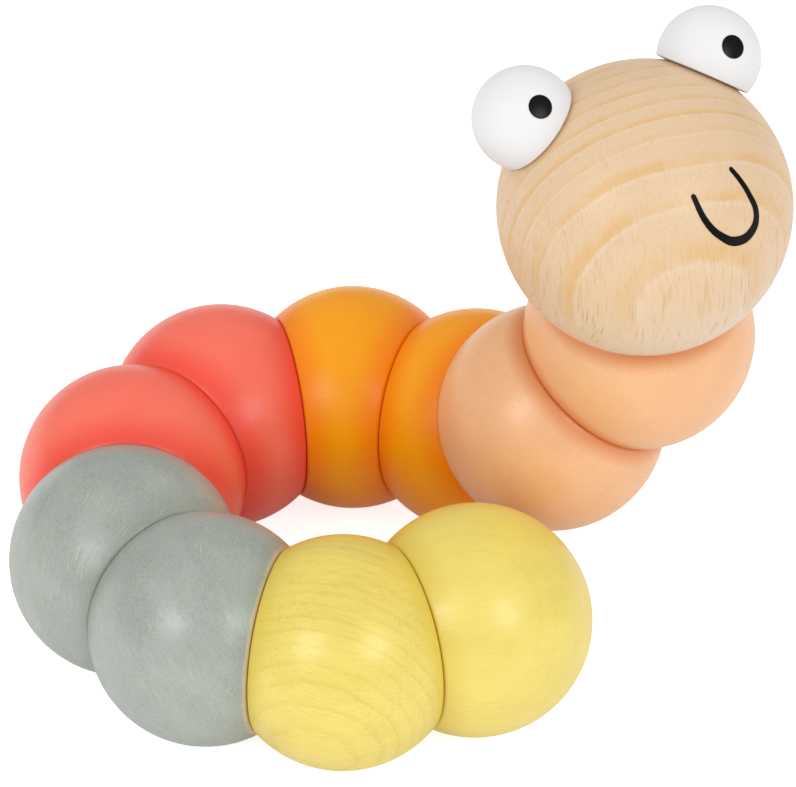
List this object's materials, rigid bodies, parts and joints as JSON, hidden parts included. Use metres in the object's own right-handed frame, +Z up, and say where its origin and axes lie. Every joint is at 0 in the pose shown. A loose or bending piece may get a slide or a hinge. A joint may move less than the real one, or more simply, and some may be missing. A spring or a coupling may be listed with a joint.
{
  "type": "wooden worm toy",
  "caption": "Coiled wooden worm of stained balls with slanted flats, strung on an elastic cord so that each ball turns on the next, with a large round head and white ball eyes.",
  "frame": {"origin": "middle of the underside of the coiled worm's box, on the table it lies on", "axes": "+X to the right of someone who faces the worm, along the longest side of its box; +Y away from them; +Z up from the table"},
  "size_m": [0.12, 0.1032, 0.1028],
  "materials": {
    "yellow": "yellow stain under satin lacquer",
    "grey": "grey stain under satin lacquer",
    "coral": "coral stain under satin lacquer",
    "orange": "orange stain under satin lacquer",
    "peach": "peach stain under satin lacquer",
    "beech": "clear satin lacquer",
    "eye_white": "white gloss lacquer",
    "elastic": "woven cover",
    "dowel": "bare"
  },
  "bodies": {
    "tail": {"tail_ball": "yellow", "tail_bush": "dowel", "tail_cord": "elastic"},
    "yellow_1": {"yellow_1_ball": "yellow", "yellow_1_cord": "elastic"},
    "grey_2": {"grey_2_ball": "grey", "grey_2_cord": "elastic"},
    "grey_1": {"grey_1_ball": "grey", "grey_1_cord": "elastic"},
    "coral_2": {"coral_2_ball": "coral", "coral_2_cord": "elastic"},
    "coral_1": {"coral_1_ball": "coral", "coral_1_cord": "elastic"},
    "orange_2": {"orange_2_ball": "orange", "orange_2_cord": "elastic"},
    "orange_1": {"orange_1_ball": "orange", "orange_1_cord": "elastic"},
    "peach_2": {"peach_2_ball": "peach", "peach_2_cord": "elastic"},
    "peach_1": {"peach_1_ball": "peach", "peach_1_cord": "elastic"},
    "head": {"head_ball": "beech", "head_bush": "dowel", "head_cord": "elastic", "eye_right": "eye_white", "eye_left": "eye_white", "eye_pin_right": "dowel", "eye_pin_left": "dowel"}
  },
  "joints": [
    {"name": "twist_peach_2", "type": "hinge", "parent": "orange_1", "child": "peach_2", "pos_m": [0.01868, 0.01783, 0.02512], "axis": [0.5343, -0.6735, 0.5108], "range_deg": [-115, 50]},
    {"name": "twist_peach_1", "type": "hinge", "parent": "peach_2", "child": "peach_1", "pos_m": [0.03108, 0.00942, 0.03931], "axis": [0.6034, -0.0974, 0.7915], "continuous": true},
    {"name": "twist_head", "type": "hinge", "parent": "peach_1", "child": "head", "pos_m": [0.03764, 0.00593, 0.05857], "axis": [-0.0016, -0.2229, 0.9748], "continuous": true},
    {"name": "twist_orange_2", "type": "hinge", "parent": "orange_1", "child": "orange_2", "pos_m": [0.00288, 0.02949, 0.01878], "axis": [-0.9154, 0.3963, -0.0711], "range_deg": [-220, 5]},
    {"name": "twist_coral_1", "type": "hinge", "parent": "orange_2", "child": "coral_1", "pos_m": [-0.01768, 0.03117, 0.018], "axis": [-0.9703, -0.2419, 0], "range_deg": [-270, 5]},
    {"name": "twist_coral_2", "type": "hinge", "parent": "coral_1", "child": "coral_2", "pos_m": [-0.03502, 0.01999, 0.018], "axis": [-0.6211, -0.7837, 0], "continuous": true},
    {"name": "twist_grey_1", "type": "hinge", "parent": "coral_2", "child": "grey_1", "pos_m": [-0.04195, 0.00055, 0.018], "axis": [-0.014, -0.9999, 0], "continuous": true},
    {"name": "twist_grey_2", "type": "hinge", "parent": "grey_1", "child": "grey_2", "pos_m": [-0.03557, -0.01908, 0.018], "axis": [0.599, -0.8007, 0], "continuous": true},
    {"name": "twist_yellow_1", "type": "hinge", "parent": "grey_2", "child": "yellow_1", "pos_m": [-0.01854, -0.03073, 0.018], "axis": [0.9632, -0.2689, 0], "continuous": true},
    {"name": "twist_tail", "type": "hinge", "parent": "yellow_1", "child": "tail", "pos_m": [0.00206, -0.02958, 0.018], "axis": [0.9272, 0.3746, 0], "continuous": true}
  ]
}
